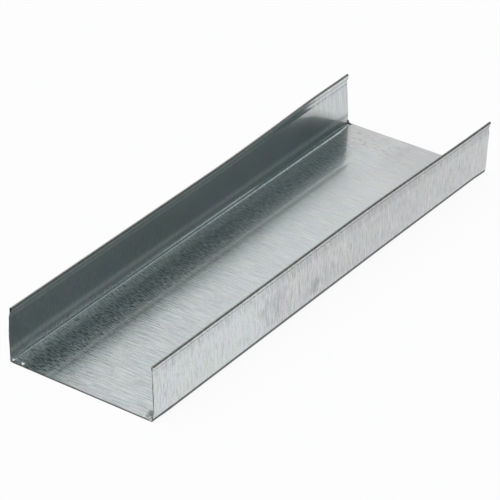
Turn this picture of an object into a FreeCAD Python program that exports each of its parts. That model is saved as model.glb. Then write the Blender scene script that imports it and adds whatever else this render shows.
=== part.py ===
import FreeCAD, Part
import math
import os

import Sketcher

# Drywall track, a short length of roll-formed galvanised sheet steel.
# Millimetres and degrees. X runs across the web, Y along the length, Z up from the web's underside.
# Each flange leaves its bend splayed outward, curves upright, and carries a leaning, hemmed top band.
# The flanges toe in over the plain run and open outward towards the +Y end.

SIZES = {
    "stud_depth": 92.08,
    "leg_height": 32.2,
    "track_length": 304.8,
    "sheet_thickness": 0.48,
    "bend_radius": 2.14,
    "foot_radius": 50.0,
    "foot_splay": 6.0,
    "toe_in": 2.2,
    "flare_out": 4.0,
    "flare_length": 137.0,
    "band_height": 3.2,
    "band_lean": 6.5,
    "hem_height": 3.18,
    "hem_radius": 0.15,
    "hem_kink": 5.0,
    "hem_gap": 0.05,
}

# Arc and line end positions as the sketcher numbers them
START = 1
END = 2
CENTRE = 3

# Sections of the flared end, as shares of its length
FLARE_STATIONS = [0.0, 1.0 / 3.0, 2.0 / 3.0, 1.0]


def sizes_sheet(document):
    """The driving dimensions, one aliased cell each."""
    sheet = document.addObject("Spreadsheet::Sheet", "sizes")
    sheet.Label = "sizes"
    for row, (alias, value) in enumerate(SIZES.items(), start=1):
        sheet.set(f"A{row}", alias)
        sheet.set(f"B{row}", str(value))
        sheet.setAlias(f"B{row}", alias)
    document.recompute()
    return sheet


def cell(alias):
    return f"<<sizes>>.{alias}"


def origin_plane(body, role):
    for feature in body.Origin.OriginFeatures:
        if feature.Role == role:
            return feature
    raise RuntimeError(f"no origin plane {role}")


def bind(sketch, name, constraint, expression):
    """Adds a driving constraint and ties it to the sheet."""
    index = sketch.addConstraint(constraint)
    sketch.renameConstraint(index, name)
    sketch.setExpression(f"Constraints.{name}", expression)


def polar(centre, radius, angle):
    return centre + FreeCAD.Vector(math.cos(angle), math.sin(angle), 0) * radius


def arc(centre, radius, first, last):
    circle = Part.Circle(centre, FreeCAD.Vector(0, 0, 1), radius)
    return Part.ArcOfCircle(circle, first, last)


SPLAY = f"({cell('foot_splay')} * 1 deg)"
KINK = f"({cell('hem_kink')} * 1 deg)"
# From the centre of the bend to that of the gentle curve above it
CENTRES = f"({cell('foot_radius')} - {cell('bend_radius')})"
# Half the flat of the web; the widest part of the curve leaves room for the stud
WEB_HALF = f"({cell('stud_depth')} / 2 - {cell('foot_radius')} + {CENTRES} * cos({SPLAY}))"
# Height at which an unleaned flange is upright
FOOT_HEIGHT = f"({cell('bend_radius')} + {cell('sheet_thickness')} + {CENTRES} * sin({SPLAY}))"
HEM_OUTER = f"({cell('hem_radius')} + {cell('sheet_thickness')})"
# Straight side of the hem, below the fold
HEM_SIDE = f"(({cell('hem_height')} - {HEM_OUTER} * (1 + sin({KINK}))) / cos({KINK}))"


def flange_run(lean):
    """Straight flange above the curve; a leaning flange takes up some of it in the curve."""
    return (
        f"({cell('leg_height')} - {FOOT_HEIGHT} - {cell('band_height')} - {cell('hem_height')}"
        f" - {cell('foot_radius')} * {lean} * pi / 180)"
    )


def flange_section(body, name, station, lean, lean_value):
    """Cut through one bend, its flange and its hem, in a plane across the track.

    station is the expression of the plane's distance along Y, lean that of the inward lean."""
    sketch = body.newObject("Sketcher::SketchObject", name)
    sketch.AttachmentSupport = [(origin_plane(body, "XZ_Plane"), "")]
    sketch.MapMode = "FlatFace"
    sketch.setExpression("AttachmentOffset.Base.z", f"-1 * ({station})")

    thickness = SIZES["sheet_thickness"]
    bend = SIZES["bend_radius"]
    foot = SIZES["foot_radius"]
    fold = SIZES["hem_radius"]
    band = SIZES["band_height"]
    splay = math.radians(SIZES["foot_splay"])
    kink = math.radians(SIZES["hem_kink"])
    tilt = math.radians(lean_value)
    band_tilt = tilt + math.radians(SIZES["band_lean"])
    bend_outer = bend + thickness
    fold_outer = fold + thickness
    centres = foot - bend
    foot_rise = centres * math.sin(splay)
    web_half = SIZES["stud_depth"] / 2 - foot + centres * math.cos(splay)
    upright = SIZES["leg_height"] - bend_outer - foot_rise - band - SIZES["hem_height"]
    run = upright - foot * tilt
    side = (SIZES["hem_height"] - fold_outer * (1 + math.sin(kink))) / math.cos(kink)

    out = FreeCAD.Vector(math.cos(tilt), math.sin(tilt), 0)
    up = FreeCAD.Vector(-math.sin(tilt), math.cos(tilt), 0)
    band_out = FreeCAD.Vector(math.cos(band_tilt), math.sin(band_tilt), 0)
    band_up = FreeCAD.Vector(-math.sin(band_tilt), math.cos(band_tilt), 0)
    kink_up = band_up * math.cos(kink) + band_out * math.sin(kink)
    kink_out = band_out * math.cos(kink) - band_up * math.sin(kink)
    bend_centre = FreeCAD.Vector(web_half, bend_outer, 0)
    foot_centre = polar(bend_centre, -centres, -splay)
    flange_foot = foot_centre + out * (foot + thickness)
    band_foot = flange_foot + up * run
    hem_foot = band_foot + band_up * band
    hem_top = hem_foot + kink_up * side
    fold_centre = hem_top - kink_out * fold_outer

    # The return leg leans back until its cut edge all but touches the band
    reach = (hem_foot - fold_centre).dot(band_out) - thickness - SIZES["hem_gap"]
    slant = math.atan2(fold, side) + math.asin(reach / math.hypot(side, fold))
    back_out = band_up * -math.sin(slant) - band_out * math.cos(slant)
    back_down = band_out * math.sin(slant) - band_up * math.cos(slant)
    fold_first = band_tilt - kink
    fold_last = band_tilt + math.pi + slant
    return_top = fold_centre + back_out * fold_outer
    return_foot = return_top + back_down * side
    inner_top = fold_centre + back_out * fold
    inner_foot = inner_top + back_down * side
    kink_inner_top = fold_centre + kink_out * fold
    hem_root = hem_foot - band_out * thickness + band_up * (thickness * math.tan(kink / 2))
    band_root = band_foot - out * thickness - up * (thickness * math.tan((band_tilt - tilt) / 2))
    inner_flange_foot = foot_centre + out * foot
    down = -math.pi / 2

    names = [
        ("bend_outer", arc(bend_centre, bend_outer, down, -splay)),
        ("foot_outer", arc(foot_centre, foot + thickness, -splay, tilt)),
        ("flange_outer", Part.LineSegment(flange_foot, band_foot)),
        ("band_outer", Part.LineSegment(band_foot, hem_foot)),
        ("kink_outer", Part.LineSegment(hem_foot, hem_top)),
        ("fold_outer", arc(fold_centre, fold_outer, fold_first, fold_last)),
        ("return_outer", Part.LineSegment(return_top, return_foot)),
        ("cut_edge", Part.LineSegment(return_foot, inner_foot)),
        ("return_inner", Part.LineSegment(inner_foot, inner_top)),
        ("fold_inner", arc(fold_centre, fold, fold_first, fold_last)),
        ("kink_inner", Part.LineSegment(kink_inner_top, hem_root)),
        ("band_inner", Part.LineSegment(hem_root, band_root)),
        ("flange_inner", Part.LineSegment(band_root, inner_flange_foot)),
        ("foot_inner", arc(foot_centre, foot, -splay, tilt)),
        ("bend_inner", arc(bend_centre, bend, down, -splay)),
        (
            "web_joint",
            Part.LineSegment(polar(bend_centre, bend, down), polar(bend_centre, bend_outer, down)),
        ),
    ]
    at = {key: sketch.addGeometry(shape, False) for key, shape in names}

    joins = [
        ("Coincident", "web_joint", END, "bend_outer", START),
        ("Tangent", "bend_outer", END, "foot_outer", START),
        ("Tangent", "foot_outer", END, "flange_outer", START),
        ("Coincident", "flange_outer", END, "band_outer", START),
        ("Coincident", "band_outer", END, "kink_outer", START),
        ("Tangent", "kink_outer", END, "fold_outer", START),
        ("Tangent", "fold_outer", END, "return_outer", START),
        ("Coincident", "return_outer", END, "cut_edge", START),
        ("Coincident", "cut_edge", END, "return_inner", START),
        ("Tangent", "return_inner", END, "fold_inner", END),
        ("Tangent", "fold_inner", START, "kink_inner", START),
        ("Coincident", "kink_inner", END, "band_inner", START),
        ("Coincident", "band_inner", END, "flange_inner", START),
        ("Tangent", "flange_inner", END, "foot_inner", END),
        ("Tangent", "foot_inner", START, "bend_inner", END),
        ("Coincident", "bend_inner", START, "web_joint", START),
        ("Coincident", "bend_outer", CENTRE, "bend_inner", CENTRE),
        ("Coincident", "foot_outer", CENTRE, "foot_inner", CENTRE),
        ("Coincident", "fold_outer", CENTRE, "fold_inner", CENTRE),
    ]
    for kind, first, first_end, second, second_end in joins:
        sketch.addConstraint(
            Sketcher.Constraint(kind, at[first], first_end, at[second], second_end)
        )
    sketch.addConstraint(Sketcher.Constraint("Vertical", at["web_joint"]))
    sketch.addConstraint(
        Sketcher.Constraint("Vertical", at["bend_outer"], START, at["bend_outer"], CENTRE)
    )
    sketch.addConstraint(Sketcher.Constraint("PointOnObject", at["web_joint"], END, -1))
    sketch.addConstraint(Sketcher.Constraint("Parallel", at["band_outer"], at["band_inner"]))
    sketch.addConstraint(Sketcher.Constraint("Parallel", at["kink_outer"], at["kink_inner"]))
    sketch.addConstraint(Sketcher.Constraint("Parallel", at["return_outer"], at["return_inner"]))
    sketch.addConstraint(Sketcher.Constraint("Perpendicular", at["return_outer"], at["cut_edge"]))
    sketch.addConstraint(Sketcher.Constraint("Equal", at["return_outer"], at["kink_outer"]))

    bind(
        sketch,
        "web_half",
        Sketcher.Constraint("DistanceX", -1, START, at["web_joint"], END, web_half),
        WEB_HALF,
    )
    bind(
        sketch,
        "sheet",
        Sketcher.Constraint("Distance", at["web_joint"], thickness),
        cell("sheet_thickness"),
    )
    bind(
        sketch,
        "bend",
        Sketcher.Constraint("Radius", at["bend_inner"], bend),
        cell("bend_radius"),
    )
    bind(
        sketch,
        "foot",
        Sketcher.Constraint("Radius", at["foot_inner"], foot),
        cell("foot_radius"),
    )
    bind(
        sketch,
        "foot_rise",
        Sketcher.Constraint(
            "DistanceY", at["bend_inner"], CENTRE, at["foot_inner"], CENTRE, foot_rise
        ),
        f"{CENTRES} * sin({SPLAY})",
    )
    bind(
        sketch,
        "lean",
        Sketcher.Constraint("Angle", at["flange_outer"], math.pi / 2 + tilt),
        f"(90 + {lean}) * 1 deg",
    )
    bind(
        sketch,
        "flange_run",
        Sketcher.Constraint("Distance", at["flange_outer"], run),
        flange_run(lean),
    )
    bind(
        sketch,
        "band_lean",
        Sketcher.Constraint("Angle", at["band_outer"], math.pi / 2 + band_tilt),
        f"(90 + {lean} + {cell('band_lean')}) * 1 deg",
    )
    bind(
        sketch,
        "band",
        Sketcher.Constraint("Distance", at["band_outer"], band),
        cell("band_height"),
    )
    bind(
        sketch,
        "band_sheet",
        Sketcher.Constraint("Distance", at["band_inner"], START, at["band_outer"], thickness),
        cell("sheet_thickness"),
    )
    bind(
        sketch,
        "kink",
        Sketcher.Constraint("Angle", at["kink_outer"], math.pi / 2 + band_tilt - kink),
        f"(90 + {lean} + {cell('band_lean')} - {cell('hem_kink')}) * 1 deg",
    )
    bind(
        sketch,
        "hem_side",
        Sketcher.Constraint("Distance", at["kink_outer"], side),
        HEM_SIDE,
    )
    bind(
        sketch,
        "fold",
        Sketcher.Constraint("Radius", at["fold_inner"], fold),
        cell("hem_radius"),
    )
    bind(
        sketch,
        "fold_outer",
        Sketcher.Constraint("Radius", at["fold_outer"], fold_outer),
        HEM_OUTER,
    )
    bind(
        sketch,
        "hem_gap",
        Sketcher.Constraint(
            "Distance", at["cut_edge"], END, at["band_inner"], SIZES["hem_gap"]
        ),
        cell("hem_gap"),
    )
    return sketch


doc = FreeCAD.newDocument("drywall_track")
sizes_sheet(doc)

body = doc.addObject("PartDesign::Body", "track_channel")
body.Label = "track_channel"
doc.recompute()

# Flat of the web, between the two bends
web_outline = body.newObject("Sketcher::SketchObject", "web_outline")
web_outline.AttachmentSupport = [(origin_plane(body, "XY_Plane"), "")]
web_outline.MapMode = "FlatFace"
foot_centres = SIZES["foot_radius"] - SIZES["bend_radius"]
foot_span = foot_centres * math.cos(math.radians(SIZES["foot_splay"]))
half_flat = SIZES["stud_depth"] / 2 - SIZES["foot_radius"] + foot_span
half_length = SIZES["track_length"] / 2
corners = [
    FreeCAD.Vector(-half_flat, -half_length, 0),
    FreeCAD.Vector(half_flat, -half_length, 0),
    FreeCAD.Vector(half_flat, half_length, 0),
    FreeCAD.Vector(-half_flat, half_length, 0),
]
for first, second in zip(corners, corners[1:] + corners[:1]):
    web_outline.addGeometry(Part.LineSegment(first, second), False)
for side_index in range(4):
    web_outline.addConstraint(
        Sketcher.Constraint("Coincident", side_index, END, (side_index + 1) % 4, START)
    )
web_outline.addConstraint(Sketcher.Constraint("Horizontal", 0))
web_outline.addConstraint(Sketcher.Constraint("Vertical", 1))
web_outline.addConstraint(Sketcher.Constraint("Horizontal", 2))
web_outline.addConstraint(Sketcher.Constraint("Vertical", 3))
web_outline.addConstraint(Sketcher.Constraint("Symmetric", 0, START, 1, END, -1, START))
bind(
    web_outline,
    "flat_width",
    Sketcher.Constraint("DistanceX", 0, START, 0, END, 2 * half_flat),
    f"2 * {WEB_HALF}",
)
bind(
    web_outline,
    "flat_length",
    Sketcher.Constraint("DistanceY", 1, START, 1, END, 2 * half_length),
    cell("track_length"),
)

web = body.newObject("PartDesign::Pad", "web")
web.Profile = web_outline
web.setExpression("Length", cell("sheet_thickness"))

# Plain run of one flange, toed in
plain_length = f"({cell('track_length')} - {cell('flare_length')})"
flare_start = f"({cell('track_length')} / 2 - {cell('flare_length')})"
plain_section = flange_section(
    body, "plain_section", f"-{cell('track_length')} / 2", cell("toe_in"), SIZES["toe_in"]
)
plain_run = body.newObject("PartDesign::Pad", "plain_run")
plain_run.Profile = plain_section
plain_run.Reversed = True
plain_run.setExpression("Length", plain_length)

# Open end of the same flange, easing from toe-in to flare
flare_sections = []
for number, share in enumerate(FLARE_STATIONS):
    eased = share * share * (3 - 2 * share)
    swing = SIZES["toe_in"] + SIZES["flare_out"]
    flare_sections.append(
        flange_section(
            body,
            f"flare_section_{number}",
            f"{flare_start} + {share} * {cell('flare_length')}",
            f"({cell('toe_in')} - {eased} * ({cell('toe_in')} + {cell('flare_out')}))",
            SIZES["toe_in"] - eased * swing,
        )
    )
flare = body.newObject("PartDesign::AdditiveLoft", "flare")
flare.Profile = flare_sections[0]
flare.Sections = flare_sections[1:]

# The opposite flange
both_flanges = body.newObject("PartDesign::Mirrored", "both_flanges")
both_flanges.Originals = [plain_run, flare]
both_flanges.MirrorPlane = (origin_plane(body, "YZ_Plane"), [""])
body.Tip = both_flanges

doc.recompute()

for item in doc.Objects:
    if "Invalid" in item.State or "Error" in item.State:
        raise RuntimeError(f"{item.Name} did not compute: {item.State}")
for item in [web_outline, plain_section] + flare_sections:
    if item.Shape.isNull():
        raise RuntimeError(f"{item.Name} is empty")
shape = body.Shape
if shape.isNull() or not shape.isValid() or len(shape.Solids) != 1:
    raise RuntimeError("the track is not one valid solid")

os.makedirs("parts", exist_ok=True)
shape.exportStep("parts/track_channel.step")
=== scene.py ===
"""Drywall track: the galvanised sheet, its sheared ends and a plain pale studio.

All lengths are in metres, in the frame of the solid."""

import math

import bmesh
import bpy
from mathutils import Matrix, Vector, noise


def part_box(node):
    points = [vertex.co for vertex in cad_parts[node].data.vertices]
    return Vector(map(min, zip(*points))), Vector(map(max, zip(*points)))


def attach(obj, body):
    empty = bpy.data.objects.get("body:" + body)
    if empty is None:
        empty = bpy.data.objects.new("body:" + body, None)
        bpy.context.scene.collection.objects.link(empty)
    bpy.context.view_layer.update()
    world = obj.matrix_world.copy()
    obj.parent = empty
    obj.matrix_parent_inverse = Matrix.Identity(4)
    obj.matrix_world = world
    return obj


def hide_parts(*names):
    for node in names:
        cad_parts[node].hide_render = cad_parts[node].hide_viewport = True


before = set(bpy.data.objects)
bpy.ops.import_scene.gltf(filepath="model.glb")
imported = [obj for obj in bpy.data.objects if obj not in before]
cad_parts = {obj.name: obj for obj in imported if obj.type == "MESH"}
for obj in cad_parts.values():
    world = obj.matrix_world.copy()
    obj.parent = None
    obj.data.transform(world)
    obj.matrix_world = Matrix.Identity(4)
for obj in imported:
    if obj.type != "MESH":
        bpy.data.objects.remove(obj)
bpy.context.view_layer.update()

bl_info = {
    "name": "Drywall Track",
    "version": (1, 0, 0),
    "blender": (4, 5, 0),
    "location": "View3D > Sidebar > Track",
    "description": "Builds a hemmed sheet-steel drywall track with its zinc finish, and a studio for it",
    "category": "Add Mesh",
}

NODE = "track_channel"
BODY = "root"
MM = 0.001
TRACK_LOW, TRACK_HIGH = (Vector(corner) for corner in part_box(NODE))

# Materials of the sheet, by slot number
ZINC = 0
SHEARED = 1
# The next slot is a dark coat painted as shade on the outside of the hem's fold.
FOLD_SHADE = 2
# The next slot is a near-black coat painted as shade under the bends, along the hems' cut edges and inside
# the far end of the left bend.
PAINTED_SHADE = 3
BURNISHED = 4
# The next slot is a dark coat painted as shade along the web's near edge.
EDGE_SHADE = 5

# Uneven far cut by side: distances across the strip and lengthwise shifts, in millimetres
FAR_CUT = {
    -1.0: (
        (0.0, 1.0), (44.5, 1.0), (46.5, 0.5), (49.5, -1.2),
        (54.0, -0.7), (73.5, -0.45), (75.5, -0.6), (77.3, -0.1),
    ),
    1.0: (
        (0.0, 1.0), (32.0, 0.8), (44.5, -1.4), (46.5, -1.0),
        (48.7, 0.0), (53.0, -0.4), (75.7, -1.4), (77.3, 0.3),
    ),
}

# Burrs at the near cut: place, facing and size, in millimetres
BURRS = (
    ((-44.2, -151.8, 1.4), (0.38, -0.43, 0.82), 1.9),
    ((-38.5, -151.3, 0.9), (0.38, -0.43, 0.82), 2.2),
    ((38.9, -151.6, 0.75), (0.20, -0.30, 0.93), 1.4),
    ((41.6, -150.6, 0.75), (0.20, -0.30, 0.93), 1.4),
)
BURR_DEPTH = 0.3 * MM

# Share of its cell in the bake layer that one face of a burr takes up
BURR_PATCH = 0.9

# Dark patch painted as shade inside the far end of the left bend: its width across the strip, and how many
# rows of faces it takes up
SHADE_END_WIDTH = 4.6 * MM
SHADE_END_ROWS = 3

# Distances from the far end between which the left band flattens
FLATTENED = (15.0 * MM, 80.0 * MM)

# Heights between which the left flange comes to fall short of the near cut
SHORTENED = (14.0 * MM, 26.0 * MM)

# Waves in the sheet: lengths across the strip and along it, place in the noise and share of the depth
WAVES = (
    (60.0 * MM, 75.0 * MM, 2.3, 1.0),
    (24.0 * MM, 34.0 * MM, 7.1, 0.35),
)

# Share of the waves that shows, and share of a bend's tightening that adds to the height of the painted
# shade above it
WAVE_SHARE = 0.5
SHADE_SHARE = 0.2

# Angle above which an edge is drawn sharp
SHARP_ANGLE = math.radians(40)

# Distances from a cut end at which extra sections are set, in millimetres
END_STATIONS = (0.0, 0.5, 1.0, 2.0, 3.0)

# Layer that the closing bake of the sheet reads, and the free space between its patches
BAKE_MAP = "OFBake"
BAKE_MARGIN = 2.0 * MM

# Grain of the zinc: cells to the metre across the strip, along it and up
LINES = (75.0, 1250.0, 20.0)
DASHES = (230.0, 1400.0, 40.0)
DOTS = (800.0, 1200.0, 300.0)
FLECKS = (310.0, 1300.0, 40.0)
SCRATCHES = (130.0, 1000.0, 10.0)
CLOUDS = (38.0, 30.0, 20.0)
BLOTS = (360.0, 360.0, 50.0)
SCUFFS = (210.0, 760.0, 0.0)
WARM_CLOUDS = (70.0, 120.0, 25.0)
LILAC_CLOUDS = (60.0, 130.0, 25.0)
TORN_GRAIN = (900.0, 900.0, 2400.0)
DRAGGED_GRAIN = (160.0, 160.0, 160.0)

# Grain of the stains on the outer faces: cells to the metre along and up, and place in the noise
STAIN_GRAIN = (260.0, 200.0, 3.0)

# Painted shade of the near right bend on the web, then stains on the right flange's outer face: centre and
# radii in millimetres, how ragged, and where the edge starts and ends
NEAR_BEND_SHADE = ((42.4, -147.5), (4.2, 3.9), 1.8, (0.3, 1.35))
LOW_STAIN = ((-16.0, 10.3), (4.5, 4.5), 3.0, (-0.2, 1.8))
HIGH_STAIN = ((-52.0, 16.0), (12.0, 9.0), 2.4, (0.1, 1.5))

# How steeply the lower edge of the painted light wedge at the far end of a flange falls towards the cut
LIT_WEDGE_SLOPE = 0.577

# Brightness of the clean and of the dulled coat, against the zinc's colour
CLEAN = 1.2
DULLED = 0.4

# Plain coat before any mark: its tone between dulled and clean, and the share of it that is frosted
PLAIN_TONE = 0.78
PLAIN_FROST = 0.55

# Depth of the relief in the zinc, in worn zinc and in a cut edge
ZINC_RELIEF = 0.03 * MM
WORN_RELIEF = 0.02 * MM
TORN_RELIEF = 0.05 * MM

# Tints that are multiplied into the zinc's colour
COOL_CLOUD = (0.965, 1.0, 1.04)
WARM_CLOUD = (1.01, 1.015, 0.965)
LILAC_CLOUD = (1.04, 0.965, 1.05)
TEAL = (0.96, 1.0, 0.99)
DUSTY = (0.975, 0.95, 0.95)
WARM = (1.12, 1.0, 0.98)
FOLD_LOW = (1.04, 1.0, 1.0)
FOLD_HIGH = (0.92, 1.0, 1.0)

# Angles about the track's length, from the +X horizon upward, between which the studio's dome brightens
# and the dim glow below it sets in
DOME_EDGE = (math.radians(62), math.radians(98))
GLOW_EDGE = (math.radians(46), math.radians(24))
GLOW = 0.06

# Shares of +Y in a direction between which the light towards the near end and the white far away set in
NEAR_EDGE = (0.45, 0.1)
WHITE_EDGE = (0.58, 0.78)

# Colours of the studio's light, from its dark side up
DARK_SIDE = (0.112, 0.158, 0.161)
HALF_LIGHT = (0.35, 0.46, 0.468)
DOME = (0.955, 0.99, 0.985)
WHITE = (1.0, 1.0, 1.0)
BLACK = (0.0, 0.0, 0.0)

# Floor: half its width, its gap below the track, and how far it is lifted towards white
FLOOR_HALF = 6.0
FLOOR_GAP = 0.02 * MM
FLOOR_LIFT = 0.92

# Camera: width of its sensor in millimetres, and the nearest distance it draws
SENSOR_WIDTH = 36.0
NEAR_CLIP = 0.05


def length_setting(name, description, size):
    """A length that a user can change; its default is given in millimetres."""
    return bpy.props.FloatProperty(name=name, description=description, default=size * MM, unit="LENGTH")


def angle_setting(name, description, degrees):
    """An angle that a user can change."""
    default = math.radians(degrees)
    return bpy.props.FloatProperty(name=name, description=description, default=default, subtype="ANGLE")


def colour_setting(name, description, default):
    """A colour that a user can change."""
    return bpy.props.FloatVectorProperty(
        name=name,
        description=description,
        default=default,
        subtype="COLOR",
        size=3,
    )


class TrackSheetSettings(bpy.types.PropertyGroup):
    """Sizes of the rolled section and of what handling has done to it."""

    stud_depth: length_setting("Stud depth", "Inside width between the flanges just above the bends", 92.08)
    leg_height: length_setting("Leg height", "Height of an upright flange, hem included", 32.2)
    thickness: length_setting("Sheet thickness", "Thickness of the coated sheet", 0.48)
    bend_radius: length_setting("Bend radius", "Inside radius between web and flange", 2.4)
    pressed_radius: length_setting(
        "Pressed radius", "Inside radius of a bend where the shear has pressed it at a cut end", 0.6
    )
    far_bend_radius: length_setting(
        "Far bend radius", "Inside radius that the right bend tightens to before the far end", 1.5
    )
    far_bend_length: length_setting(
        "Far bend length", "Length over which the right bend tightens towards the far end", 120.0
    )
    pressed_length: length_setting(
        "Pressed length", "Stretch over which a pressed bend opens to its full radius", 14.0
    )
    bend_ease: angle_setting("Bend ease", "Turn that the web takes in a wider curve before the bend", 12.0)
    ease_radius: length_setting("Ease radius", "Radius of that wider curve", 6.0)
    step_angle: angle_setting(
        "Step angle", "Outward lean of the soft step that the rolls leave above the bend", 5.0
    )
    step_radius: length_setting("Step radius", "Radius of the two curves of the step", 12.0)
    step_foot: length_setting("Step foot", "Upright run between the bend and the step", 0.9)
    step_run: length_setting("Step run", "Straight run in the middle of the step", 1.0)
    toe_in: angle_setting("Toe-in", "Inward lean of the flanges over the plain run", 1.85)
    flare_out: angle_setting("Flare", "Outward lean of the flanges at the far end", 4.0)
    flare_length: length_setting(
        "Flare length", "Distance from the far end at which the flanges start to open", 137.0
    )
    left_flare_run: length_setting("Left flare run", "Stretch in which the left flange opens fully", 112.0)
    right_flare_run: length_setting(
        "Right flare run", "Stretch in which the right flange opens fully", 137.0
    )
    band_height: length_setting("Band height", "Height of the leaning band below the hem", 3.2)
    kick_angle: angle_setting("Kick angle", "Outward turn of the flange just below the band", 3.0)
    kick_length: length_setting("Kick length", "Stretch of the flange over which it turns outward", 6.0)
    band_lean: angle_setting(
        "Band lean", "Inward lean of the band from its flange, at the band's foot", 11.7
    )
    far_band_lean: angle_setting(
        "Far band lean",
        "Inward lean of the left band at the far end, where the flare has flattened it",
        5.5,
    )
    band_ease: angle_setting("Band ease", "Lean that the band loses again up to the hem", 5.5)
    hem_height: length_setting("Hem height", "Height of the folded edge", 3.18)
    hem_radius: length_setting("Hem radius", "Inside radius of the fold", 0.32)
    hem_kink: angle_setting("Hem kink", "Outward lean of the hem from its band", 5.0)
    hem_gap: length_setting("Hem gap", "Gap between the hem's cut edge and the band", 0.05)
    crease_radius: length_setting(
        "Crease radius", "Radius of the creases at the foot of the band and of the hem", 0.8
    )
    # Width of the shadow line painted beside the cut edge of a hem
    cut_shade: length_setting("Cut edge", "Dulled margin beside the cut edge of a hem", 0.3)
    # Height up a flange's outer face that the painted shade under a bend reaches
    shade_margin: length_setting(
        "Rub margin", "Height to which the rolls have rubbed a flange above its bend", 0.5
    )
    left_pull: length_setting(
        "Left pull", "Inward shift of the left flange's foot at the near end, left by the shear", 0.8
    )
    left_pull_top: length_setting("Left pull top", "Height at which that shift has faded", 20.0)
    right_pull: length_setting(
        "Right pull", "Inward shift of the right flange at the near end, left by the shear", 0.95
    )
    right_foot_pull: length_setting(
        "Right foot pull", "Further shift of the right bend at the near end", 0.45
    )
    right_pull_top: length_setting("Right pull top", "Height at which that shift starts to fade", 26.0)
    pull_foot: length_setting(
        "Pull foot", "Width of the web beside a bend over which the shifts set in", 6.0
    )
    pull_length: length_setting(
        "Pull length", "Stretch from the near end over which the flanges' shifts fade", 30.0
    )
    foot_length: length_setting(
        "Foot length", "Stretch from the near end over which the bends' shifts fade", 14.0
    )
    left_short: length_setting(
        "Left shortfall", "How far the upper part of the left flange falls short of the near cut", 0.5
    )
    near_bulge: length_setting("Near bulge", "Lengthwise bulge of the web's near edge", 0.3)
    cut_fade: length_setting("Cut fade", "Stretch over which an uneven cut is taken up", 12.0)
    station_pitch: length_setting(
        "Station pitch", "Distance between neighbouring sections of the mesh", 2.0
    )
    roll_mark: length_setting(
        "Roll mark",
        "Distance from the web's middle to the shallow mark that a roll has left along it",
        21.0,
    )
    mark_width: length_setting("Mark width", "Width of that mark", 4.6)
    mark_depth: length_setting("Mark depth", "Depth of that mark in the upper face", 0.06)
    wave_depth: length_setting(
        "Wave depth", "Depth of the shallow waves that rolling leaves in thin sheet", 0.05
    )


class ZincSettings(bpy.types.PropertyGroup):
    """Colours and roughness of the zinc coat, whole and worn, and of the dark coats painted as shade."""

    zinc_colour: colour_setting("Zinc", "Colour of the clean zinc coat", (0.55, 0.574, 0.578))
    # Dark coat painted as shade on the outside of the hem's fold
    fold_shade_colour: colour_setting(
        "Crazed zinc", "Colour of the coat where folding has cracked it", (0.27, 0.265, 0.25)
    )
    # Near-black coat painted as shade under the bends, along the hems' cut edges and inside the far end of
    # the left bend
    painted_shade_colour: colour_setting(
        "Scuffed zinc",
        "Colour of the coat where the rolls have rubbed the outside of a bend",
        (0.11, 0.115, 0.115),
    )
    # Bare steel, its near-black partly painted shade on the cut edges
    sheared_colour: colour_setting(
        "Sheared steel", "Colour of the bare steel on a cut edge", (0.06, 0.06, 0.06)
    )
    burnished_colour: colour_setting(
        "Burnished zinc",
        "Colour of the coat where the rolls have polished the inside of a bend",
        (0.73, 0.725, 0.72),
    )
    # Dark coat painted as shade along the web's near edge
    edge_shade_colour: colour_setting(
        "Dragged zinc",
        "Colour of the coat that the shear has dulled along the web's near edge",
        (0.26, 0.265, 0.26),
    )
    smooth_roughness: bpy.props.FloatProperty(
        name="Smooth roughness",
        description="Roughness of the part of the coat that the rolls have pressed smooth",
        default=0.13,
        min=0.0,
        max=1.0,
        subtype="FACTOR",
    )
    frosted_roughness: bpy.props.FloatProperty(
        name="Frosted roughness",
        description="Roughness of the frosted part of the coat, between the pressed spots",
        default=0.34,
        min=0.0,
        max=1.0,
        subtype="FACTOR",
    )


class StudioSettings(bpy.types.PropertyGroup):
    """Camera and floor."""

    azimuth: angle_setting("Azimuth", "Camera's bearing, from the near end towards +X", 35.58)
    elevation: angle_setting("Elevation", "Camera's height above the horizon", 31.57)
    roll: angle_setting("Roll", "Camera's turn about its own axis", 0.39)
    distance: length_setting("Distance", "From the camera to the point it looks at", 1581.0)
    target: bpy.props.FloatVectorProperty(
        name="Target",
        description="Point the camera looks at",
        default=(-1.72 * MM, -6.7 * MM, 10.0 * MM),
        subtype="TRANSLATION",
        size=3,
    )
    lens: bpy.props.FloatProperty(
        name="Lens",
        description="Focal length in millimetres on a 36 mm sensor",
        default=214.85,
        unit="CAMERA",
    )
    floor_colour: colour_setting("Floor", "Colour of the pale floor", (0.92, 0.92, 0.92))


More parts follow.
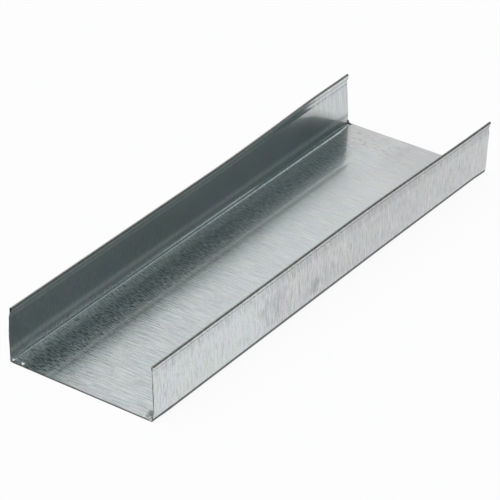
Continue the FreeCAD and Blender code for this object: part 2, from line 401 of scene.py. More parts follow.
class Value:
    """A number socket; using it in an expression adds Math nodes."""

    def __init__(self, finish, socket):
        self.finish = finish
        self.socket = socket

    def math(self, operation, *terms):
        settings = {"operation": operation}
        return self.finish.add("ShaderNodeMath", settings, dict(enumerate(terms)))

    def __add__(self, other):
        return self.math("ADD", self, other)

    def __radd__(self, other):
        return self.math("ADD", other, self)

    def __sub__(self, other):
        return self.math("SUBTRACT", self, other)

    def __rsub__(self, other):
        return self.math("SUBTRACT", other, self)

    def __mul__(self, other):
        return self.math("MULTIPLY", self, other)

    def __truediv__(self, other):
        return self.math("DIVIDE", self, other)

    def __pow__(self, other):
        return self.math("POWER", self, other)

    def __abs__(self):
        return self.math("ABSOLUTE", self)

    def largest(self, other):
        return self.math("MAXIMUM", self, other)

    def ramp(self, low, high, shape="SMOOTHSTEP"):
        """0 at low, 1 at high, smooth or linear between, and level outside."""
        return self.finish.add(
            "ShaderNodeMapRange",
            {"interpolation_type": shape},
            {"Value": self, "From Min": low, "From Max": high, "To Min": 0.0, "To Max": 1.0},
        )

    def fade(self, low, high, shape="SMOOTHSTEP"):
        """A ramp between two distances in millimetres."""
        return self.ramp(low * MM, high * MM, shape)

    def band(self, start, full, fading, gone):
        """1 from full to fading, easing to 0 at start and at gone, in millimetres."""
        return self.fade(start, full) * (1.0 - self.fade(fading, gone))

    def blend(self, low, high):
        """low where this is 0, high where it is 1."""
        return low + self * (high - low)

    def contrast(self, low, high):
        """Above 0 where a noise is high, below 0 where it is as far the other way."""
        return self.ramp(low, high) - (1.0 - self).ramp(low, high)


class Finish:
    """A node tree, written as expressions."""

    def __init__(self, tree):
        self.tree = tree
        tree.nodes.clear()

    def feed(self, socket, value):
        if isinstance(value, Value):
            self.tree.links.new(value.socket, socket)
        elif isinstance(value, tuple) and socket.type == "RGBA":
            socket.default_value = (*value, 1.0)
        else:
            socket.default_value = value

    def add(self, kind, settings=None, sockets=None, output=0):
        """A node of any type: its settings first, then the values or links of its sockets."""
        node = self.tree.nodes.new(kind)
        for name, value in (settings or {}).items():
            setattr(node, name, value)
        for name, value in (sockets or {}).items():
            self.feed(node.inputs[name], value)
        return Value(self, node.outputs[output])

    def mix(self, factor, first, second, blend="MIX"):
        """Two colours blended, or the second multiplied into the first."""
        settings = {"data_type": "RGBA", "blend_type": blend}
        return self.add("ShaderNodeMix", settings, {0: factor, 6: first, 7: second}, 2)

    def vector(self, x, y, z):
        return self.add("ShaderNodeCombineXYZ", None, {"X": x, "Y": y, "Z": z})

    def split(self, vector):
        """The three numbers of a vector."""
        node = self.tree.nodes.new("ShaderNodeSeparateXYZ")
        self.feed(node.inputs[0], vector)
        return [Value(self, socket) for socket in node.outputs]

    def noise(self, vector, detail):
        sockets = {"Vector": vector, "Scale": 1.0, "Detail": detail, "Roughness": 0.5}
        return self.add("ShaderNodeTexNoise", {"noise_dimensions": "3D"}, sockets)

    def bump(self, height, distance, strength):
        sockets = {"Strength": strength, "Distance": distance, "Height": height}
        return self.add("ShaderNodeBump", None, sockets)

    def metal(self, colour, roughness, bump):
        sockets = {"Base Color": colour, "Metallic": 1.0, "Roughness": roughness, "Normal": bump}
        return self.add("ShaderNodeBsdfPrincipled", None, sockets)

    def surface(self, shader, output="ShaderNodeOutputMaterial"):
        node = self.tree.nodes.new(output)
        self.feed(node.inputs["Surface"], shader)


def new_material(name):
    material = bpy.data.materials.new(name)
    material.use_nodes = True
    return material, Finish(material.node_tree)


def shaded(colour, factor):
    """A colour times one factor."""
    return tuple(channel * factor for channel in colour)


def tinted(colour, tint):
    """A colour times a tint."""
    return tuple(channel * share for channel, share in zip(colour, tint))


def total(start, marks):
    """A start value plus every mark times its strength."""
    for mark, strength in marks:
        start = start + mark * strength
    return start


def round_patch(first, second, ragged, shape):
    """A round patch with an edge as ragged as a noise makes it, for stains and for painted shade; shape is
    one of the patches above.
    """
    (first_centre, second_centre), (first_radius, second_radius), share, edge = shape
    first_part = (first - first_centre * MM) / (first_radius * MM)
    second_part = (second - second_centre * MM) / (second_radius * MM)
    spread = first_part ** 2.0 + second_part ** 2.0
    return 1.0 - (spread + (ragged - 0.5) * share).ramp(*edge)


class Strip:
    """Places on the sheet: across the flat strip from the web's middle, along it, and up."""

    def __init__(self, finish):
        self.finish = finish
        self.x, self.along, self.up = finish.split(finish.add("ShaderNodeTexCoord", output="Object"))
        self.across = self.x + self.x.math("SIGN", self.x) * self.up
        self.place = finish.vector(self.across, self.along, self.up)

    def grain(self, cells, detail, shift=(0.0, 0.0, 0.0)):
        """Noise from 0 to 1 over the strip; cells are to the metre across it, along it and up."""
        sockets = {0: self.place, 1: cells, 2: shift}
        place = self.finish.add("ShaderNodeVectorMath", {"operation": "MULTIPLY_ADD"}, sockets)
        return self.finish.noise(place, detail)


class ZincCoat(Strip):
    """The zinc's grain, and masks from 0 to 1 of the areas that differ."""

    def __init__(self, finish):
        super().__init__(finish)
        self.line = self.grain(LINES, 0.0)
        self.dash = self.grain(DASHES, 1.0)
        self.dot = self.grain(DOTS, 1.0)
        self.cloud = self.grain(CLOUDS, 3.0)
        self.set_areas()
        self.set_streaks()

    def set_areas(self):
        """Web, flange faces, what forming has rubbed, and where light is painted: the edge of the web's
        reflected dark band and the light wedge at the far end of a flange.
        """
        across, along, up = self.across, self.along, self.up
        outward = self.x * self.finish.split(self.finish.add("ShaderNodeTexCoord", output="Normal"))[0]
        upright = up.fade(2.0, 4.0)
        self.inner = (0.0 - outward).ramp(0.0, 0.03) * upright
        self.outer = outward.ramp(0.0, 0.03) * upright
        self.web = 1.0 - up.fade(1.0, 2.0)
        self.near = 1.0 - along.fade(-150.0, 120.0)
        # Painted light and reflection colour: the web lighter and teal where its reflected dark band fades
        # out.
        self.painted_sheen_edge = across.band(-31.0, -22.0, -15.0, -2.0)
        # Far end of the inner faces: painted light on the light wedge they reflect, painted shade on the
        # dark part beside it.
        self.far_inner = self.inner * along.fade(90.0, 115.0)
        self.lit_wedge = self.far_inner * (up + along * LIT_WEDGE_SLOPE).fade(88.0, 95.0)
        self.web_foot = abs(across).fade(36.5, 44.5, "LINEAR") * (1.0 - up.fade(1.0, 1.6))
        self.leg_foot = self.inner * up.band(4.6, 6.6, 6.6, 10.0)
        self.rubbed = self.web_foot * self.near.blend(0.7, 1.6) + self.leg_foot * 1.1

    def set_streaks(self):
        """Lines, dashes and dots about 0, strongest at the near end, and flecks in the web's dark core."""
        sheltered = self.inner.blend(1.0, 0.06)
        reach = self.near.blend(0.45, 1.0) * (sheltered + self.lit_wedge * 0.99)
        self.depth = reach * (1.0 + self.outer * self.near.blend(0.55, 0.3))
        lines = (self.line - 0.5) * self.outer.blend(3.3, 1.0)
        dashes = (self.dash - 0.5) * self.outer.blend(2.0, 3.6)
        self.streak = (lines + dashes + (self.dot - 0.5) * 0.4) * self.depth
        core = self.across.fade(-30.0, -21.0).blend(1.0, 0.22)
        flecks = self.grain(FLECKS, 1.0).contrast(0.51, 0.68)
        self.hatch = flecks * (self.near * self.near).blend(0.35, 1.75) * sheltered * core

    def plain_marks(self):
        """Marks of every face, each with the tone it adds."""
        return [
            (self.streak, 0.27),
            (self.cloud - 0.5, 0.12),
            (self.hatch * self.near, 0.16),
            # Painted light at the edge of the web's reflected dark band.
            (self.painted_sheen_edge, 0.06),
            # Painted light: bright dashes lifting the web's dark reflection beside the bends at the near
            # end.
            (self.near * self.web_foot * self.dash.ramp(0.5, 0.7), 0.4),
        ]

    def web_marks(self):
        """Marks of the web: painted shade of the near right bend, light and dark areas with painted light
        in its reflected dark band, faint scuffs beside the far edge.
        """
        across, along = self.across, self.along
        # Painted shade where the near end of the right bend darkens the web.
        bend_shade = round_patch(across, along, self.grain(BLOTS, 3.0), NEAR_BEND_SHADE) * (0.5 + self.dash)
        right = across.fade(-14.0, -4.0)
        # Painted light that lifts part of the web's reflected dark band.
        painted_lift = across.band(-44.0, -38.0, -22.0, -15.0) * along.band(0.0, 60.0, 112.0, 130.0)
        last = (1.0 - across.fade(-16.0, -12.0)) * along.fade(115.0, 140.0)
        scuffs = across.band(-42.0, -34.0, -12.0, 12.0) * along.band(122.0, 138.0, 145.0, 152.0)
        scuffs = scuffs * self.grain(SCUFFS, 1.0, (0.0, 0.0, 5.0)).ramp(0.56, 0.68)
        marks = (
            (bend_shade, -0.75),
            (right * along.fade(-100.0, -50.0), 0.05),
            (right * along.fade(100.0, 140.0), -0.115),
            (painted_lift, 0.15),
            (last, -0.02),
            (scuffs, -0.34),
        )
        return [(self.web * mark, tone) for mark, tone in marks]

    def outer_marks(self):
        """Marks of the flanges' outer faces: scratches, fresh near end, painted shade on the band below the
        hem and along the hem's edge, and stains.
        """
        along, up = self.along, self.up
        scratches = self.grain(SCRATCHES, 0.0).contrast(0.58, 0.7)
        fresh = 1.0 - along.fade(-80.0, -45.0)
        # Painted shade: a dotted dark line along the hem's edge.
        crease = up.band(29.75, 30.0, 30.35, 30.6)
        crease_shade = crease * self.dash.ramp(0.4, 0.6) * (0.4 + self.cloud * 1.1)
        long_cells, high_cells, level = STAIN_GRAIN
        patch_place = self.finish.vector(along * long_cells, up * high_cells, level)
        patch = self.finish.noise(patch_place, 2.0)
        right = self.across.fade(0.0, 1.0) * (0.5 + self.dash)
        marks = (
            (scratches, 0.1),
            (self.cloud - 0.5, 0.16),
            (fresh, 0.16),
            # Painted shade on the band below the hem.
            (up.fade(24.5, 28.5), -0.13),
            (crease_shade, -1.0),
            (right * round_patch(along, up, patch, LOW_STAIN), -0.34),
            (right * round_patch(along, up, patch, HIGH_STAIN), -0.15),
        )
        return [(self.outer * mark, tone) for mark, tone in marks]

    def inner_marks(self):
        """Marks of the flanges' inner faces: duller far away and below the band, painted light on the wedge
        at the far end and on the foot at the near end, painted shade beside the wedge and in the band's
        crease.
        """
        # Painted shade in the crease at the band's foot, across the light wedge.
        fold = self.up.band(25.2, 25.8, 26.9, 27.5) * self.dash.ramp(0.35, 0.6)
        return [
            (self.inner * self.along.fade(-140.0, 60.0), -0.13),
            (self.inner * (1.0 - self.up.fade(24.0, 27.0)), -0.07),
            # Painted shade beside the far end's light wedge, then painted light on the wedge.
            (self.far_inner, -0.08),
            (self.lit_wedge, 0.27),
            (self.lit_wedge * fold, -0.5),
            # Painted light on the flange's foot at the near end.
            (self.near * self.leg_foot, 0.1),
        ]

    def clouded(self, colour):
        """A zinc colour with faint clouds of bluer, greener and lilac tint."""
        mix = self.finish.mix
        warmth = self.grain(WARM_CLOUDS, 1.0, (7.0, 0.0, 0.0)).ramp(0.36, 0.64)
        lilac = self.grain(LILAC_CLOUDS, 1.0, (-3.0, 5.0, 0.0)).ramp(0.5, 0.7)
        clouds = mix(warmth, tinted(colour, COOL_CLOUD), tinted(colour, WARM_CLOUD))
        clouds = mix(lilac, clouds, tinted(colour, LILAC_CLOUD))
        return mix(self.inner.blend(0.5, 1.0) - self.lit_wedge * 0.6, colour, clouds)

    def colour(self, zinc_colour):
        """The coat's colour: dulled or clean as the marks say, then cooled, dusty or warmed by place; the
        cooling of the web's dark core and of its band's edge is painted reflection colour.
        """
        across, along = self.across, self.along
        marks = self.plain_marks() + self.web_marks() + self.outer_marks() + self.inner_marks()
        clean = self.clouded(shaded(zinc_colour, CLEAN))
        colour = self.finish.mix(total(PLAIN_TONE, marks), shaded(zinc_colour, DULLED), clean)
        # Painted reflection colour: teal in the web's dark core and at the edge of its dark band; on the
        # rubbed areas the same tint is wear.
        dark_core = self.web * (1.0 - across.fade(-31.0, -22.0))
        cooled = self.rubbed + self.painted_sheen_edge * 0.8 + dark_core * 0.8
        weathered = self.outer * along.fade(-70.0, -20.0) + self.web * along.fade(30.0, 120.0)
        warmed = self.inner * self.up.fade(25.0, 28.0).blend(0.5, 1.0) * (1.0 - along.fade(50.0, 100.0))
        far_left = self.web * along.fade(125.0, 142.0) * (1.0 - across.fade(-16.0, 4.0))
        warmed = warmed + far_left * 0.4
        for share, tint in ((cooled, TEAL), (weathered, DUSTY), (warmed, WARM)):
            colour = self.finish.mix(share, colour, tint, "MULTIPLY")
        return colour

    def frost(self):
        """Share of the coat that is frosted rather than pressed smooth."""
        handled = self.web * (1.0 - self.along.fade(-152.4, -142.0))
        hem_rub = self.inner * (self.up.fade(29.0, 29.6) - self.up.fade(30.9, 31.7) * 0.6)
        marks = (
            (self.hatch, 0.8),
            ((self.dot - 0.5) * self.depth, 0.3),
            (self.cloud - 0.5, 0.15),
            (self.rubbed, 0.3),
            (self.rubbed * (self.dash - 0.5), 0.5),
            (handled, 0.5),
            (hem_rub, 0.4),
            (self.painted_sheen_edge, 0.2),
        )
        return total(PLAIN_FROST, marks)


def zinc_material(zinc):
    """Hot-dip zinc: streaks across the strip, pressed and frosted spots, faint tints, satin gloss, and
    painted light and shade in places.
    """
    material, finish = new_material("zinc_coat")
    coat = ZincCoat(finish)
    colour = coat.colour(zinc.zinc_colour)
    bump = finish.bump(coat.streak, ZINC_RELIEF, 1.0)
    pressed = finish.metal(colour, zinc.smooth_roughness, bump)
    frosted = finish.metal(colour, zinc.frosted_roughness + coat.rubbed * 0.2, bump)
    shader = finish.add("ShaderNodeMixShader", None, {0: coat.frost(), 1: pressed, 2: frosted})
    finish.surface(shader)
    return material


def worn_material(name, colour, roughness, coat, left_coat=0.0, folded=False):
    """Zinc that forming has worn, or a dark coat painted as shade, with the brighter coat left in short
    dashes; coat is how much brighter.

    left_coat is how much more of that coat is left on the left half; folded is for the inside of a bend,
    whose upper half dulls towards the far end."""
    material, finish = new_material(name)
    strip = Strip(finish)
    dash = strip.grain(DASHES, 1.0)
    dot = strip.grain(DOTS, 1.0)
    left_over = dash * 0.6 + dot * 0.4
    if left_coat > 0.0:
        left_over = left_over + (1.0 - strip.across.fade(-1.0, 0.0)) * left_coat
    worn = finish.mix(left_over.ramp(0.38, 0.72), shaded(colour, 0.85), shaded(colour, coat))
    if folded:
        upper = strip.up.fade(1.0, 1.6)
        kept = (upper * strip.along.fade(35.0, 85.0)).blend(1.0, 0.67)
        worn = finish.mix(1.0, worn, finish.mix(upper, FOLD_LOW, FOLD_HIGH), "MULTIPLY")
        worn = finish.mix(kept, BLACK, worn)
    bump = finish.bump(dot, WORN_RELIEF, 0.6)
    finish.surface(finish.metal(worn, dot.blend(0.7, 1.3) * roughness, bump))
    return material


def sheared_material(zinc):
    """Bare steel on a cut edge: part burnished, part torn, with zinc dragged over it; its near-black colour
    is partly painted shade.
    """
    material, finish = new_material("sheared_steel")
    strip = Strip(finish)
    grain = strip.grain(TORN_GRAIN, 3.0)
    drag = strip.grain(DRAGGED_GRAIN, 2.0)
    torn = strip.up.band(8.0, 12.0, 20.0, 24.0)
    upright = strip.up.fade(2.0, 4.0) * strip.across.fade(0.0, 1.0)
    top = strip.up.fade(27.5, 29.0)
    smeared = drag.ramp(0.6, 0.85).largest(upright * (1.0 - torn) * top.blend(0.45, 0.8))
    colour = finish.mix(smeared, tuple(zinc.sheared_colour), tuple(zinc.zinc_colour))
    bump = finish.bump(grain, TORN_RELIEF, 0.5)
    finish.surface(finish.metal(colour, grain.blend(0.35, 0.6), bump))
    return material


def sheet_materials(zinc):
    """The sheet's materials, in the order of their slots."""
    return (
        zinc_material(zinc),
        sheared_material(zinc),
        # Dark coat painted as shade on the outside of the hem's fold.
        worn_material("fold_shade_zinc", zinc.fold_shade_colour, roughness=0.34, coat=1.3, left_coat=0.13),
        # Near-black coat painted as shade under the bends, along the hems' cut edges and inside the far end
        # of the left bend.
        worn_material("painted_shade_zinc", zinc.painted_shade_colour, roughness=0.38, coat=1.5),
        worn_material("burnished_zinc", zinc.burnished_colour, roughness=0.05, coat=1.3, folded=True),
        # Dark coat painted as shade along the web's near edge.
        worn_material("edge_shade_zinc", zinc.edge_shade_colour, roughness=0.65, coat=1.3),
    )


class SheetPath:
    """A path across the strip, drawn as the rolls form it: straight runs and bends in turn."""

    def __init__(self, start):
        self.place = Vector(start)
        self.heading = 0.0
        self.length = 0.0
        self.points = [(self.place.copy(), 0.0, 0.0, ZINC, ZINC)]

    def run(self, length, pieces, inner=ZINC, outer=ZINC):
        """A straight run; inner and outer are the materials of its two faces."""
        step = Vector((math.cos(self.heading), math.sin(self.heading))) * (length / pieces)
        for _ in range(pieces):
            self.place = self.place + step
            self.length += length / pieces
            self.points.append((self.place.copy(), self.heading, self.length, inner, outer))

    def bend(self, radius, angle, pieces, inner=ZINC, outer=ZINC):
        """A turn to the left, or to the right where the angle is negative."""
        turn = angle / pieces
        chord = 2 * radius * math.sin(abs(turn) / 2)
        for _ in range(pieces):
            direction = self.heading + turn / 2
            self.place = self.place + Vector((math.cos(direction), math.sin(direction))) * chord
            self.heading += turn
            self.length += radius * abs(turn)
            self.points.append((self.place.copy(), self.heading, self.length, inner, outer))


def hem_slant(sheet):
    """Straight side of the hem below its fold, and the return leg's lean back to the flange."""
    outer = sheet.hem_radius + sheet.thickness
    side = (sheet.hem_height - outer * (1 + math.sin(sheet.hem_kink))) / math.cos(sheet.hem_kink)
    fold_centre = sheet.thickness + side * math.sin(sheet.hem_kink) - outer * math.cos(sheet.hem_kink)
    reach = -sheet.hem_gap - fold_centre
    slant = math.atan2(sheet.hem_radius, side) + math.asin(reach / math.hypot(side, sheet.hem_radius))
    return side, slant


def share_between(value, low, high):
    """0 at low, 1 at high, easing between and level outside."""
    part = min(max((value - low) / (high - low), 0.0), 1.0)
    return part * part * (3 - 2 * part)


def web_flat(sheet, radius):
    """Half the flat of the web, from its middle to the eased start of a bend."""
    ease = math.sin(sheet.bend_ease)
    bend = radius * (1 - ease) + (sheet.ease_radius + sheet.thickness / 2) * ease
    return sheet.stud_depth / 2 - bend


def bend_at(sheet, along, far_radius):
    """Inside radius of a bend that tightens to far_radius, pressed smaller at the cut ends."""
    from_end = min(along - TRACK_LOW.y, TRACK_HIGH.y - along)
    opened = share_between(from_end, 0.0, sheet.pressed_length)
    plain = share_between(TRACK_HIGH.y - along, 0.0, sheet.far_bend_length)
    radius = far_radius + (sheet.bend_radius - far_radius) * plain
    return sheet.pressed_radius + (radius - sheet.pressed_radius) * opened


def half_section(sheet, lean, radius, band_lean):
    """Mid-line of the sheet from the middle of the web to the hem's cut edge.

    The plain number in each run or bend is how many pieces it is drawn in."""
    side, slant = hem_slant(sheet)
    middle = sheet.thickness / 2
    step_rise = 2 * sheet.step_radius * math.sin(sheet.step_angle)
    step_rise += sheet.step_run * math.cos(sheet.step_angle) + sheet.step_foot
    upright = sheet.leg_height - radius - sheet.thickness - step_rise
    flange_run = upright - sheet.band_height - sheet.hem_height - sheet.step_radius * lean
    path = SheetPath((0.0, middle))
    path.run(web_flat(sheet, radius), 44)
    path.bend(sheet.ease_radius, sheet.bend_ease, 4)
    # The bend's outer face takes the near-black coat painted as shade where it meets the floor.
    path.bend(radius + middle, math.pi / 2 - sheet.bend_ease, 12, inner=BURNISHED, outer=PAINTED_SHADE)
    # That painted shade reaches a little way up the flange's outer face.
    rubbed = sheet.shade_margin + (sheet.bend_radius - radius) * SHADE_SHARE
    path.run(rubbed, 1, outer=PAINTED_SHADE)
    path.run(sheet.step_foot - rubbed, 1)
    path.bend(sheet.step_radius, -sheet.step_angle, 4)
    path.run(sheet.step_run, 2)
    path.bend(sheet.step_radius, sheet.step_angle + lean, 4)
    path.run(flange_run - sheet.kick_length, 10)
    path.bend(sheet.kick_length / sheet.kick_angle, -sheet.kick_angle, 5)
    path.bend(sheet.crease_radius, sheet.kick_angle + band_lean, 4)
    path.bend(sheet.band_height / sheet.band_ease, -sheet.band_ease, 4)
    path.bend(sheet.crease_radius, -sheet.hem_kink, 3)
    path.run(side, 3)
    # The outside of the hem's fold takes a dark coat painted as shade.
    path.bend(sheet.hem_radius + middle, math.pi + sheet.hem_kink + slant, 14, outer=FOLD_SHADE)
    path.run(side - sheet.cut_shade, 3)
    # A shadow line painted beside the hem's cut edge.
    path.run(sheet.cut_shade, 1, outer=PAINTED_SHADE)
    return path.points


def lean_at(sheet, along, run):
    """Inward lean of a flange that eases from toe-in to flare within the given run."""
    start = TRACK_HIGH.y - sheet.flare_length
    opened = share_between(along, start, start + run)
    return sheet.toe_in - opened * (sheet.toe_in + sheet.flare_out)


def end_pull(sheet, side, along, place):
    """Inward shift of a flange and its bend where the shear has dragged them at the near end."""
    above = share_between(place.y, sheet.bend_radius, 3 * sheet.bend_radius)
    stretch = sheet.foot_length + (sheet.pull_length - sheet.foot_length) * above
    fade = 1.0 - share_between(along - TRACK_LOW.y, 0.0, stretch)
    half = sheet.stud_depth / 2
    rise = share_between(place.x, half - sheet.pull_foot, half)
    if side < 0.0:
        kept = 1.0 - share_between(place.y, sheet.bend_radius, sheet.left_pull_top)
        return sheet.left_pull * fade * rise * kept
    kept = 1.0 - share_between(place.y, sheet.right_pull_top, sheet.leg_height)
    return -(sheet.right_pull * kept + sheet.right_foot_pull * (1.0 - above)) * fade * rise


def cut_shift(sheet, side, along, height, across):
    """Lengthwise shift of the sheet beside a cut that is not quite square."""
    if along < 0.0:
        fade = 1.0 - share_between(along - TRACK_LOW.y, 0.0, sheet.cut_fade)
        bulge = sheet.near_bulge * (1.0 - share_between(height, 0.0, sheet.pull_foot))
        short = sheet.left_short * share_between(height, *SHORTENED) if side < 0.0 else 0.0
        return (short - bulge) * fade
    fade = share_between(along, TRACK_HIGH.y - sheet.cut_fade, TRACK_HIGH.y)
    pairs = FAR_CUT[side]
    shift = pairs[-1][1]
    for (low, first), (high, second) in zip(pairs, pairs[1:]):
        if low * MM <= across < high * MM:
            shift = first + (second - first) * (across / MM - low) / (high - low)
            break
    return shift * MM * fade


def rolled_wave(sheet, across, along):
    """Shallow waves in the sheet, in and out of its plane."""
    height = 0.0
    for width, length, level, share in WAVES:
        height += share * noise.noise(Vector((across / width, along / length, level)))
    return sheet.wave_depth * height


def rolled_mark(sheet, across):
    """Depth of the roll's mark in the upper face, across the strip."""
    off = (across + sheet.roll_mark) / sheet.mark_width
    return sheet.mark_depth * math.cos(math.pi * off) ** 2 if abs(off) < 0.5 else 0.0


def section_rows(sheet, along):
    """Inner and outer points of the sheet across one station, from one cut edge to the other.

    With them come each point's distance across the strip and the materials of the faces that end there."""
    radius = bend_at(sheet, along, sheet.bend_radius)
    flat = web_flat(sheet, radius)
    right_radius = bend_at(sheet, along, sheet.far_bend_radius)
    right_lean = lean_at(sheet, along, sheet.right_flare_run)
    left_lean = lean_at(sheet, along, sheet.left_flare_run)
    flattened = 1.0 - share_between(TRACK_HIGH.y - along, *FLATTENED)
    left_band = sheet.band_lean + (sheet.far_band_lean - sheet.band_lean) * flattened
    right = half_section(sheet, right_lean, right_radius, sheet.band_lean)
    mirrored = half_section(sheet, left_lean, radius, left_band)
    left = []
    for index in range(len(mirrored) - 1, 0, -1):
        place, heading, length, _, _ = mirrored[index]
        after = mirrored[min(index + 1, len(mirrored) - 1)]
        left.append((place, heading, length, after[3], after[4]))
    inner, outer, lengths, coats = [], [], [], []
    first = (right[0][0], right[0][1], right[0][2], right[1][3], right[1][4])
    for sign, points in ((-1.0, left), (1.0, [first] + right[1:])):
        for place, heading, length, inner_coat, outer_coat in points:
            normal = Vector((-math.sin(heading) * sign, math.cos(heading)))
            at = Vector((place.x * sign + end_pull(sheet, sign, along, place), place.y))
            ease = min(length / flat, 1.0)
            wave = rolled_wave(sheet, length * sign, along) if ease < 1.0 else 0.0
            raised = max(wave, -sheet.wave_depth) + sheet.wave_depth
            lift = normal * raised * (1.0 - ease) * WAVE_SHARE
            cut = along + cut_shift(sheet, sign, along, place.y, length)
            upper = sheet.thickness / 2 - rolled_mark(sheet, length * sign)
            for row, half in ((inner, upper), (outer, -sheet.thickness / 2)):
                spot = at + normal * half + lift
                row.append((spot.x, cut, spot.y))
            lengths.append(length * sign)
            coats.append((inner_coat, outer_coat))
    return inner, outer, lengths, coats


def raise_burr(mesh, place, facing, size, corner, lay):
    """A three-sided flake of bright, torn zinc; corner is its place in the bake layer."""
    first = facing.orthogonal().normalized()
    second = facing.cross(first)
    rim = []
    for index in range(3):
        angle = math.tau * index / 3
        rim.append(place + (first * math.cos(angle) + second * math.sin(angle)) * (size / 2))
    tip = place - facing * BURR_DEPTH
    verts = [mesh.verts.new(spot) for spot in rim + [tip]]
    for number, triple in enumerate(((0, 1, 2), (1, 0, 3), (2, 1, 3), (0, 2, 3))):
        face = mesh.faces.new([verts[index] for index in triple])
        across = corner[0]
        along = corner[1] + number * size
        spots = [(across, along), (across + size, along), (across, along + BURR_PATCH * size)]
        lay(face, spots, BURNISHED)
        face.smooth = False


def sweep_sheet(sheet):
    """Mesh of the sheet: two faces, two sheared ends, the cut edges inside the hems, and the burrs."""
    length = TRACK_HIGH.y - TRACK_LOW.y
    ends = [distance * MM for distance in END_STATIONS]
    plain = length - 2 * (ends[-1] + sheet.station_pitch)
    pieces = max(1, round(plain / sheet.station_pitch))
    middle = [ends[-1] + sheet.station_pitch + plain * index / pieces for index in range(pieces + 1)]
    distances = ends + middle + [length - distance for distance in reversed(ends)]
    stations = [TRACK_LOW.y + distance for distance in distances]
    count = len(stations)
    mesh = bmesh.new()
    bake = mesh.loops.layers.uv.new(BAKE_MAP)
    inner_rows, outer_rows = [], []
    for along in stations:
        inner, outer, lengths, coats = section_rows(sheet, along)
        inner_rows.append([mesh.verts.new(spot) for spot in inner])
        outer_rows.append([mesh.verts.new(spot) for spot in outer])

    half = max(lengths)
    flat = web_flat(sheet, sheet.bend_radius)
    # Where the dark patch painted as shade inside the far left bend starts, across the strip.
    torn = web_flat(sheet, sheet.pressed_radius)
    margin = BAKE_MARGIN
    wide = 2 * (2 * half + margin) + 4 * margin
    tall = length + 4 * margin

    def lay(face, spots, material):
        face.material_index = material
        for loop, spot in zip(face.loops, spots):
            loop[bake].uv = (spot[0] / wide, spot[1] / tall)

    def panel(corners, flip, material, smooth=True):
        if flip:
            corners.reverse()
        face = mesh.faces.new([corner[0] for corner in corners])
        lay(face, [corner[1] for corner in corners], material)
        face.smooth = smooth

    def strip(rows, offset, flip, face_side):
        for index in range(count - 1):
            low, high = stations[index] - TRACK_LOW.y, stations[index + 1] - TRACK_LOW.y
            for point in range(len(lengths) - 1):
                left, right = lengths[point] + half + offset, lengths[point + 1] + half + offset
                corners = [
                    (rows[index][point], (left, low)),
                    (rows[index][point + 1], (right, low)),
                    (rows[index + 1][point + 1], (right, high)),
                    (rows[index + 1][point], (left, high)),
                ]
                coat = coats[point + 1][face_side]
                across = (lengths[point] + lengths[point + 1]) / 2
                # Painted shade along the web's near edge, on the first row of its upper face.
                if index == 0 and face_side == 0 and abs(across) < flat:
                    coat = EDGE_SHADE
                # Painted shade inside the far end of the left bend.
                last_rows = index >= count - 1 - SHADE_END_ROWS
                if last_rows and face_side == 0 and -torn - SHADE_END_WIDTH < across < -torn:
                    coat = PAINTED_SHADE
                panel(corners, flip, coat)

    strip(inner_rows, 0.0, False, 0)
    strip(outer_rows, 2 * half + margin, True, 1)

    def ribbon(first, second, spots_first, spots_second, flip):
        for index in range(len(first) - 1):
            corners = [
                (first[index], spots_first[index]),
                (first[index + 1], spots_first[index + 1]),
                (second[index + 1], spots_second[index + 1]),
                (second[index], spots_second[index]),
            ]
            panel(corners, flip, SHEARED, smooth=False)

    for row, flip, base in ((0, False, length + margin), (-1, True, length + 2.5 * margin)):
        low = [(spot + half, base) for spot in lengths]
        high = [(spot + half, base + sheet.thickness) for spot in lengths]
        ribbon(outer_rows[row], inner_rows[row], low, high, flip)
    side = 2 * (2 * half + margin)
    for point, flip, base in ((0, True, side), (-1, False, side + 1.5 * margin)):
        low = [(base, along - TRACK_LOW.y) for along in stations]
        high = [(base + sheet.thickness, along - TRACK_LOW.y) for along in stations]
        outer_edge = [row[point] for row in outer_rows]
        inner_edge = [row[point] for row in inner_rows]
        ribbon(outer_edge, inner_edge, low, high, flip)

    for index, (place, facing, size) in enumerate(BURRS):
        corner = (side + 2.5 * margin, 2.0 * margin * index)
        raise_burr(mesh, Vector(place) * MM, Vector(facing).normalized(), size * MM, corner, lay)

    mesh.normal_update()
    return mesh


class TRACK_OT_sheet(bpy.types.Operator):
    """Form the galvanised sheet: web, bends, flanges and hems"""

    bl_idname = "track.sheet"
    bl_label = "Form Sheet"

    def execute(self, context):
        sheet = context.scene.track_sheet
        zinc = context.scene.track_zinc
        shape = sweep_sheet(sheet)
        mesh = bpy.data.meshes.new("track_sheet")
        shape.to_mesh(mesh)
        shape.free()
        for material in sheet_materials(zinc):
            mesh.materials.append(material)
        mesh.set_sharp_from_angle(angle=SHARP_ANGLE)
        piece = bpy.data.objects.new("track_sheet", mesh)
        context.collection.objects.link(piece)
        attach(piece, BODY)
        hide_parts(NODE)
        return {"FINISHED"}


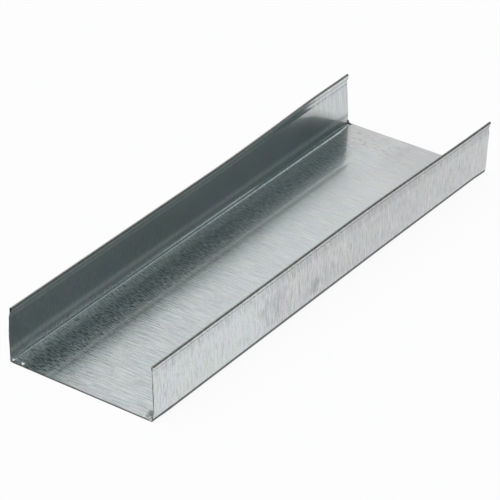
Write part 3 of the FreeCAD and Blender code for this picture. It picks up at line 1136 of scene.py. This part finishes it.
def studio_world(world):
    """White to the camera; a bright dome with one dark side, which gives bare metal its contrast.

    The dark side is set by its angle about the track's length, from the +X horizon upward."""
    world.use_nodes = True
    finish = Finish(world.node_tree)
    x, y, z = finish.split(finish.add("ShaderNodeTexCoord", output="Generated"))
    turn = z.math("ARCTAN2", z, x)
    above = turn.ramp(*DOME_EDGE, "LINEAR")
    below = turn.ramp(*GLOW_EDGE, "LINEAR") * GLOW
    behind = y.ramp(*NEAR_EDGE)
    camera_ray = finish.add("ShaderNodeLightPath", output="Is Camera Ray")
    light = above.largest(below).largest(behind).largest(camera_ray)
    lower = finish.mix(light.ramp(0.0, 0.5, "LINEAR"), DARK_SIDE, HALF_LIGHT)
    upper = finish.mix(y.ramp(*WHITE_EDGE).largest(camera_ray), DOME, WHITE)
    colour = finish.mix(light.ramp(0.5, 1.0, "LINEAR"), lower, upper)
    shader = finish.add("ShaderNodeBackground", None, {"Color": colour, "Strength": 1.0})
    finish.surface(shader, "ShaderNodeOutputWorld")


def floor_material(studio):
    """Pale matt floor, lifted towards white where camera or bare metal sees it, with the shadow kept."""
    material, finish = new_material("pale_floor")
    matt = finish.add("ShaderNodeBsdfDiffuse", None, {"Color": tuple(studio.floor_colour)})
    glow = finish.add("ShaderNodeEmission", None, {"Color": WHITE, "Strength": 1.0})
    camera_ray = finish.add("ShaderNodeLightPath", output="Is Camera Ray")
    glossy_ray = finish.add("ShaderNodeLightPath", output="Is Glossy Ray")
    clear_ray = finish.add("ShaderNodeLightPath", output="Is Transmission Ray")
    seen = camera_ray.largest(glossy_ray).largest(clear_ray)
    shader = finish.add("ShaderNodeMixShader", None, {0: seen * FLOOR_LIFT, 1: matt, 2: glow})
    finish.surface(shader)
    return material


class TRACK_OT_stage(bpy.types.Operator):
    """Set the pale floor, the soft light and the camera"""

    bl_idname = "track.stage"
    bl_label = "Set Stage"

    def execute(self, context):
        studio = context.scene.track_studio
        scene = context.scene
        shape = bmesh.new()
        bmesh.ops.create_grid(shape, x_segments=1, y_segments=1, size=FLOOR_HALF)
        mesh = bpy.data.meshes.new("pale_floor")
        shape.to_mesh(mesh)
        shape.free()
        mesh.materials.append(floor_material(studio))
        floor = bpy.data.objects.new("pale_floor", mesh)
        floor.location.z = TRACK_LOW.z - FLOOR_GAP
        context.collection.objects.link(floor)

        world = bpy.data.worlds.new("studio")
        scene.world = world
        studio_world(world)

        azimuth, elevation = studio.azimuth, studio.elevation
        back = Vector(
            (
                math.cos(elevation) * math.sin(azimuth),
                -math.cos(elevation) * math.cos(azimuth),
                math.sin(elevation),
            )
        )
        lens = bpy.data.cameras.new("camera")
        lens.sensor_fit = "HORIZONTAL"
        lens.sensor_width = SENSOR_WIDTH
        lens.lens = studio.lens
        lens.clip_start = NEAR_CLIP
        camera = bpy.data.objects.new("camera", lens)
        context.collection.objects.link(camera)
        facing = back.to_track_quat("Z", "Y").to_matrix().to_4x4()
        place = Matrix.Translation(Vector(studio.target) + back * studio.distance)
        camera.matrix_world = place @ facing @ Matrix.Rotation(studio.roll, 4, "Z")
        scene.camera = camera
        scene.view_settings.view_transform = "Standard"
        return {"FINISHED"}


class TRACK_PT_panel(bpy.types.Panel):
    """The track's pieces and its stage"""

    bl_label = "Drywall Track"
    bl_idname = "TRACK_PT_panel"
    bl_space_type = "VIEW_3D"
    bl_region_type = "UI"
    bl_category = "Track"

    def draw(self, context):
        for operator in (TRACK_OT_sheet, TRACK_OT_stage):
            self.layout.operator(operator.bl_idname)


CLASSES = (
    TrackSheetSettings,
    ZincSettings,
    StudioSettings,
    TRACK_OT_sheet,
    TRACK_OT_stage,
    TRACK_PT_panel,
)


def register():
    for item in CLASSES:
        bpy.utils.register_class(item)
    bpy.types.Scene.track_sheet = bpy.props.PointerProperty(type=TrackSheetSettings)
    bpy.types.Scene.track_zinc = bpy.props.PointerProperty(type=ZincSettings)
    bpy.types.Scene.track_studio = bpy.props.PointerProperty(type=StudioSettings)


def unregister():
    del bpy.types.Scene.track_studio
    del bpy.types.Scene.track_zinc
    del bpy.types.Scene.track_sheet
    for item in reversed(CLASSES):
        bpy.utils.unregister_class(item)


def main():
    register()
    bpy.ops.track.sheet()
    bpy.ops.track.stage()


if __name__ == "__main__":
    main()
